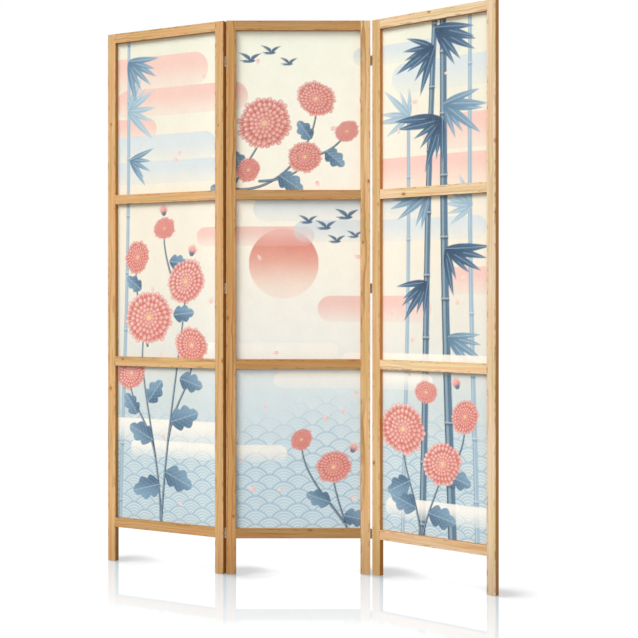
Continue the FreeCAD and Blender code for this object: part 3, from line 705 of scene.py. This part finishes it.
BUDS = (((-0.455, 1.115), 1.7, 0.040), ((-0.352, 0.985), 1.3, 0.042), ((0.195, 1.455), 1.0, 0.040),
        ((0.535, 0.585), 1.9, 0.040), ((0.165, 0.375), 1.1, 0.036), ((-0.640, 0.700), 2.2, 0.040))
FALLING = 42
FAR_CANES = ((0.338, 0.012, 0.0075, 1.42, 5.0), (0.600, -0.015, 0.0085, 1.8, 8.0),
             (-0.625, 0.02, 0.007, 1.75, 11.0))
FAR_TUFTS = (((0.36, 1.40), 2.6, 6, 0.12, 2.4, PALE, 3.0), ((0.585, 1.12), 2.9, 6, 0.13, 2.0, PALE, 4.0),
             ((-0.60, 1.46), 0.2, 6, 0.13, 2.2, PALE, 5.0))
CANES = ((0.395, 0.035, 0.0125, 1.8, 1.0), (0.515, -0.022, 0.0155, 1.8, 2.0))
TUFTS = (((0.452, 1.60), 3.5, 7, 0.15, 1.7, DEEP, 1.0), ((0.480, 1.385), 3.9, 7, 0.16, 1.8, DEEP, 2.0),
         ((0.484, 1.43), -0.5, 6, 0.15, 1.6, SOFT, 3.0), ((0.436, 1.17), -2.6, 6, 0.14, 1.8, SOFT, 6.0),
         ((0.492, 1.00), -0.7, 6, 0.14, 1.7, DEEP, 7.0), ((0.428, 0.90), -2.4, 6, 0.13, 1.6, DEEP, 8.0),
         ((0.500, 0.74), -0.5, 5, 0.13, 1.5, SOFT, 9.0), ((0.455, 1.66), -0.6, 6, 0.15, 1.4, DEEP, 10.0),
         ((-0.590, 1.30), -0.4, 5, 0.11, 1.5, SOFT, 11.0), ((-0.595, 1.62), -0.7, 6, 0.13, 1.7, SOFT, 12.0))
STEMS = (
    ((-0.47, 0.05), (-0.49, 0.35), (-0.535, 0.60), (-0.515, 0.79)),
    ((-0.47, 0.05), (-0.44, 0.40), (-0.395, 0.70), (-0.372, 0.90)),
    ((-0.44, 0.40), (-0.40, 0.52), (-0.36, 0.60), (-0.35, 0.70)),
    ((-0.49, 0.35), (-0.53, 0.45), (-0.575, 0.53), (-0.585, 0.61)),
    ((-0.52, 0.70), (-0.55, 0.82), (-0.565, 0.90), (-0.56, 0.98)),
    ((-0.40, 0.85), (-0.43, 0.93), (-0.45, 1.00), (-0.455, 1.07)),
    ((-0.225, 1.08), (-0.20, 1.20), (-0.14, 1.30), (-0.105, 1.39)),
    ((-0.19, 1.19), (-0.06, 1.23), (0.03, 1.34), (0.055, 1.47)),
    ((-0.12, 1.215), (-0.05, 1.225), (0.0, 1.25), (0.02, 1.29)),
    ((0.01, 1.30), (0.07, 1.30), (0.12, 1.33), (0.15, 1.37)),
    ((0.40, 0.05), (0.39, 0.20), (0.35, 0.33), (0.335, 0.45)),
    ((0.40, 0.05), (0.42, 0.18), (0.46, 0.28), (0.48, 0.36)),
    ((0.47, 0.30), (0.52, 0.36), (0.55, 0.42), (0.56, 0.50)),
    ((0.16, 0.05), (0.15, 0.14), (0.12, 0.24), (0.11, 0.33)),
    ((0.14, 0.16), (0.08, 0.24), (0.03, 0.32), (0.01, 0.41)),
)
LEAVES = (
    ((-0.50, 0.40), 2.7, 0.10), ((-0.43, 0.46), 0.3, 0.11), ((-0.52, 0.52), 0.9, 0.09),
    ((-0.395, 0.60), -0.3, 0.09), ((-0.56, 0.48), 2.2, 0.08), ((-0.45, 0.30), -0.4, 0.11),
    ((-0.47, 0.26), 3.4, 0.11), ((-0.545, 0.88), 2.5, 0.07), ((-0.42, 0.80), 0.1, 0.08),
    ((-0.435, 0.97), -0.1, 0.07), ((-0.21, 1.16), 2.6, 0.08), ((-0.06, 1.235), -0.6, 0.09),
    ((-0.17, 1.245), 2.0, 0.07), ((0.04, 1.345), 2.2, 0.07), ((0.085, 1.31), -0.7, 0.075),
    ((0.385, 0.22), 2.8, 0.10), ((0.43, 0.21), -0.2, 0.10), ((0.36, 0.30), 3.6, 0.09),
    ((0.50, 0.33), -0.3, 0.085), ((0.14, 0.18), -0.2, 0.08), ((0.10, 0.22), 2.8, 0.08),
)
BLOOMS = (
    (-0.515, 0.790, 0.098, 0.94, 0.3), (-0.372, 0.905, 0.080, 0.88, 0.9), (-0.350, 0.705, 0.066, 0.90, -0.4),
    (-0.560, 0.985, 0.058, 0.84, 1.2), (-0.585, 0.610, 0.062, 0.88, 0.5), (-0.455, 1.075, 0.046, 0.80, 0.2),
    (-0.105, 1.395, 0.092, 0.92, 0.7), (0.055, 1.470, 0.066, 0.86, -0.5), (0.020, 1.290, 0.058, 0.88, 0.1),
    (-0.155, 1.250, 0.044, 0.84, 1.0), (0.150, 1.370, 0.042, 0.82, 0.6), (0.335, 0.455, 0.088, 0.92, -0.3),
    (0.480, 0.360, 0.074, 0.90, 0.6), (0.560, 0.505, 0.056, 0.86, 1.1), (0.420, 0.570, 0.045, 0.82, 0.0),
    (0.110, 0.330, 0.060, 0.88, 0.4), (0.010, 0.415, 0.040, 0.84, 0.9),
)


def printed_picture(x, z):
    """The printed colours at places x, measured from the middle of the screen in line, and heights z."""
    sheet = Print(x, z, np.zeros((*x.shape, 3)))
    lay_ground(sheet)
    lay_waves(sheet)
    lay_sun(sheet, SUN, SUN_RADIUS)
    lay_mist(sheet, ROSE_MIST, "f4c5b8", 0.85)
    lay_mist(sheet, FAR_MIST, "d3dfe4", 0.75)
    for foot, lean, half, high, salt in FAR_CANES:
        lay_cane(sheet, foot, lean, half, high, salt, FAR)
    for tuft in FAR_TUFTS:
        lay_tuft(sheet, *tuft)
    for foot, lean, half, high, salt in CANES:
        lay_cane(sheet, foot, lean, half, high, salt, SLATE)
    for tuft in TUFTS:
        lay_tuft(sheet, *tuft)
    lay_mist(sheet, NEAR_MIST, "fbf6ea", 0.86)
    for number in range(FALLING):
        spot = (1.3 * chance(number, 21.0) - 0.65, 0.2 + 1.4 * chance(number, 22.0))
        size = 0.014 + 0.010 * chance(number, 23.0)
        lay_blade(sheet, spot, 6.28 * chance(number, 24.0), size, PETALS, 0.3, 0.30)
    for points in STEMS:
        lay_stem(sheet, points, 0.0042, 0.0022, SLATE[0])
        lay_stem(sheet, [(px - 0.0012, pz) for px, pz in points], 0.0012, 0.0006, SLATE[2])
    for place, span in GEESE:
        lay_goose(sheet, place, span)
    for root, turn, long in LEAVES:
        lay_leaf(sheet, root, turn, long)
    for root, turn, long in BUDS:
        lay_bud(sheet, root, turn, long)
    for number, (cx, cz, radius, squash, tilt) in enumerate(BLOOMS):
        lay_bloom(sheet, (cx, cz), radius, squash, tilt, number + 1.0)
    wash = 1 + 0.018 * cloud(x, z, 0.09, 8.0) + 0.012 * cloud(x, z, 0.023, 9.0)
    return np.clip(sheet.colour * wash[..., None], 0, 1)


def canvas_finish():
    """Printed canvas: the ink from the sheet's own colours, over a plain weave of 1.1 mm pairs of
    threads, sin(u) * sin(v), with thin ink on the high threads."""
    material, wire, shader = new_material("printed_canvas")
    ink = wire.add("Attribute", {"attribute_name": "ink"}, {})
    cloth = wire.add("UVMap", {"uv_map": "cloth"}, {})
    u, v = [wire.add("SeparateXYZ", {}, {0: cloth}, output=axis) for axis in (0, 1)]
    pitch = 2 * math.pi / THREAD_PAIR
    weave = (u * pitch).math("SINE", u * pitch) * (v * pitch).math("SINE", v * pitch)
    slub = wire.noise(u * 60, v * 900, 0.0, 1) + wire.noise(u * 900, v * 60, 4.0, 1)
    grain = wire.noise(u * 1500, v * 1500, 2.0)
    thin = (weave.step(0.1, 1.0) * 0.05 + slub.step(0.95, 1.25) * 0.06 + grain.step(0.5, 0.8) * 0.03)
    colour = thin.between(ink, solid("f6f1e6"))
    roughness = grain * 0.14 + weave * 0.04 + 0.66
    finish_shader(wire, shader, colour, roughness, weave * 0.5 + slub * 0.6, 0.00012, 0.3)
    shader.inputs["Specular IOR Level"].default_value = 0.15
    return material


def canvas_sheet(name, panel, cell, finish):
    """One sheet as a closed form: a front grid that waves by under 0.3 mm inside the laps, and a flat
    back, laid out in line in the middle panel and then turned about the panel's pin."""
    low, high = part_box(f"middle_panel_{cell}_print")
    columns = round((high[0] - low[0]) / GRID_STEP) + 1
    rows = round((high[2] - low[2]) / GRID_STEP) + 1
    x, z = np.meshgrid(np.linspace(low[0], high[0], columns), np.linspace(low[2], high[2], rows))
    picture = printed_picture(x + SHIFTS[panel] - MIDDLE_X, z)
    rim = np.minimum(np.minimum(x - low[0], high[0] - x), np.minimum(z - low[2], high[2] - z))
    free = ease(LAP, LAP + 0.05, rim)
    wave = cloud(x + SHIFTS[panel], z, 0.42, 5.0) * free
    front = np.stack([x + SHIFTS[panel], low[1] + SLACK * (wave + 1) * free, z], axis=-1)
    back = np.stack([x[:1] + SHIFTS[panel], np.full_like(x[:1], high[1]), z[:1]], axis=-1)
    back_top = back + np.array((0, 0, high[2] - low[2]))
    points = np.concatenate([front.reshape(-1, 3), back.reshape(-1, 3), back_top.reshape(-1, 3)])
    pin_x, pin_y, fold = PINS[panel]
    dx, dy = points[:, 0] - pin_x, points[:, 1] - pin_y
    turned = np.stack([pin_x + dx * math.cos(fold) + dy * math.sin(fold),
                       pin_y - dx * math.sin(fold) + dy * math.cos(fold), points[:, 2]], axis=-1)
    index = np.arange(rows * columns).reshape(rows, columns)
    start = rows * columns
    lower = start + np.arange(columns)
    upper = lower + columns
    quads = [np.stack([index[:-1, :-1], index[:-1, 1:], index[1:, 1:], index[1:, :-1]], -1).reshape(-1, 4),
             np.stack([lower[1:], lower[:-1], upper[:-1], upper[1:]], -1),
             np.stack([lower[:-1], lower[1:], index[0, 1:], index[0, :-1]], -1),
             np.stack([index[-1, :-1], index[-1, 1:], upper[1:], upper[:-1]], -1)]
    sides = [[lower[0], *index[:, 0], upper[0]], [upper[-1], *index[::-1, -1], lower[-1]]]
    faces = [*np.concatenate(quads).tolist(), *[[int(k) for k in side] for side in sides]]
    mesh = bpy.data.meshes.new(name)
    mesh.from_pydata(turned.tolist(), [], faces)
    ink = np.ones((len(points), 4))
    ink[:start, :3] = picture.reshape(-1, 3)
    ink[start:, :3] = paint("e6dfcf")
    colours = mesh.color_attributes.new("ink", "FLOAT_COLOR", "POINT")
    colours.data.foreach_set("color", ink.astype(np.float32).ravel())
    corners = np.zeros(len(mesh.loops), dtype=np.int32)
    mesh.loops.foreach_get("vertex_index", corners)
    flat = points[:, (0, 2)] - np.array((low[0] + SHIFTS[panel], low[2]))
    cloth = mesh.uv_layers.new(name="cloth")
    cloth.data.foreach_set("uv", flat[corners].astype(np.float32).ravel())
    smooth = np.zeros(len(mesh.polygons), dtype=bool)
    smooth[:(rows - 1) * (columns - 1)] = True
    mesh.polygons.foreach_set("use_smooth", smooth)
    mesh.update()
    piece = bpy.data.objects.new(name, mesh)
    scene.collection.objects.link(piece)
    mesh.materials.append(finish)
    return piece, (high[0] - low[0], high[2] - low[2])


canvas = canvas_finish()
for panel in PANELS:
    for cell in ("lower", "middle", "upper"):
        piece, cut = canvas_sheet(f"{panel}_{cell}_canvas", panel, cell, canvas)
        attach(piece, f"{panel}_panel")
        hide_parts(f"{panel}_panel_{cell}_print")


# Floor: a plain white studio floor with a faint gloss. It shows the shadows, darkest beside the
# feet, and a dim reflection of the feet and bottom rails, and is white where no shadow falls.
FLOOR_HALF = 14.0
GLOW_FAR = 1.01
GLOW_NEAR = (0.39, 0.55, 0.61, 1)
GLOSS_TINT = (0.62, 0.46, 0.40, 1)
GLOSS_FULL = 0.53
GLOSS_END = 0.66
SCREEN_LINE = 0.03
LINE_SPREAD = 1.13
SHADE_WAY = (-0.90, -0.25, 0.35)
SHADE_REACH = 0.148
SHADE_DEPTH = 0.36
mesh = bpy.data.meshes.new("studio_floor")
corners = [(-1, -1), (1, -1), (1, 1), (-1, 1)]
mesh.from_pydata([(x * FLOOR_HALF, y * FLOOR_HALF, 0) for x, y in corners], [], [(0, 1, 2, 3)])
floor = bpy.data.objects.new("studio_floor", mesh)
scene.collection.objects.link(floor)
material = bpy.data.materials.new("floor_white")
material.use_nodes = True
tree = material.node_tree
tree.nodes.clear()
wire = Wire(tree)


def seen_by_eye(wire):
    """1 for what the camera sees, straight, in a reflection or through glass."""
    kinds = ("Camera", "Glossy", "Transmission")
    ways = [wire.add("LightPath", {}, {}, output=f"Is {kind} Ray") for kind in kinds]
    total = ways[0] + ways[1] + ways[2]
    return total.math("MINIMUM", total, 1.0)


# the gloss is strongest along the folded panels' line and dies out in front of it and behind it
place = wire.add("TexCoord", {}, {}, output=3)
x, y = [wire.add("SeparateXYZ", {}, {0: place}, output=axis) for axis in (0, 1)]
spread = (x - EYE[0]) * LINE_SPREAD + EYE[0]
to_left = spread.math("MAXIMUM", PINS["left"][0] - spread, 0.0) * math.tan(PINS["left"][2])
to_right = spread.math("MAXIMUM", spread - PINS["right"][0], 0.0) * math.tan(PINS["right"][2])
off_screen = abs(y - SCREEN_LINE - to_left + to_right)
polish = (1 - off_screen) * off_screen.step(GLOSS_END, GLOSS_FULL)
matt = wire.add("BsdfDiffuse", {}, {"Color": solid("404040")})
far = wire.add("AddShader", {}, {0: matt, 1: wire.add("Emission", {}, {"Strength": GLOW_FAR})})
near = wire.add("AddShader", {}, {0: matt, 1: wire.add("Emission", {}, {"Color": GLOW_NEAR})})
gloss = wire.add("BsdfGlossy", {}, {"Color": GLOSS_TINT, "Roughness": 0.05})
near = wire.add("AddShader", {}, {0: near, 1: gloss})
lit = wire.add("MixShader", {}, {0: polish, 1: far, 2: near})
# the feet's soft shadows: what stands on the lamp's side of a spot within the reach shades it
towards = {"Normal": wire.stack(*SHADE_WAY), "Distance": SHADE_REACH}
open_share = wire.add("AmbientOcclusion", {"samples": 32}, towards, output=1)
shade = open_share.step(1.0, 0.84) * SHADE_DEPTH
shaded = wire.add("MixShader", {}, {0: shade, 1: lit, 2: wire.add("Emission", {}, {"Strength": 0.0})})
bounce = wire.add("BsdfDiffuse", {}, {"Color": solid("a4a4a4")})
whole = wire.add("MixShader", {}, {0: seen_by_eye(wire), 1: bounce, 2: shaded})
tree.links.new(whole.socket, tree.nodes.new("ShaderNodeOutputMaterial").inputs["Surface"])
mesh.materials.append(material)


# Studio: white to the camera, with a low even fill, one large soft lamp high on the left, a weaker
# one in front and one behind.
FILL = 0.26
world = bpy.data.worlds.new("studio")
scene.world = world
world.use_nodes = True
tree = world.node_tree
tree.nodes["Background"].inputs["Color"].default_value = (1, 1, 1, 1)
seen = seen_by_eye(Wire(tree))
tree.links.new((seen * (1 - FILL) + FILL).socket, tree.nodes["Background"].inputs["Strength"])


def lamp(name, azimuth, elevation, angle, level, mirrored):
    """A far soft lamp, placed by angles in degrees: azimuth 0 is in front, and negative is to the
    left. At level 1 a surface that faces it renders its own colour. Only a mirrored lamp shows in
    the floor's gloss."""
    data = bpy.data.lights.new(name, "SUN")
    data.angle = math.radians(angle)
    data.energy = math.pi * level
    thing = bpy.data.objects.new(name, data)
    thing.rotation_euler = (math.radians(90 - elevation), 0, math.radians(azimuth))
    thing.visible_glossy = mirrored
    scene.collection.objects.link(thing)


lamp("key", -48, 42, 34, 0.76, mirrored=True)
lamp("front", -4, 16, 50, 0.28, mirrored=False)
lamp("back", 180, 25, 50, 0.40, mirrored=False)
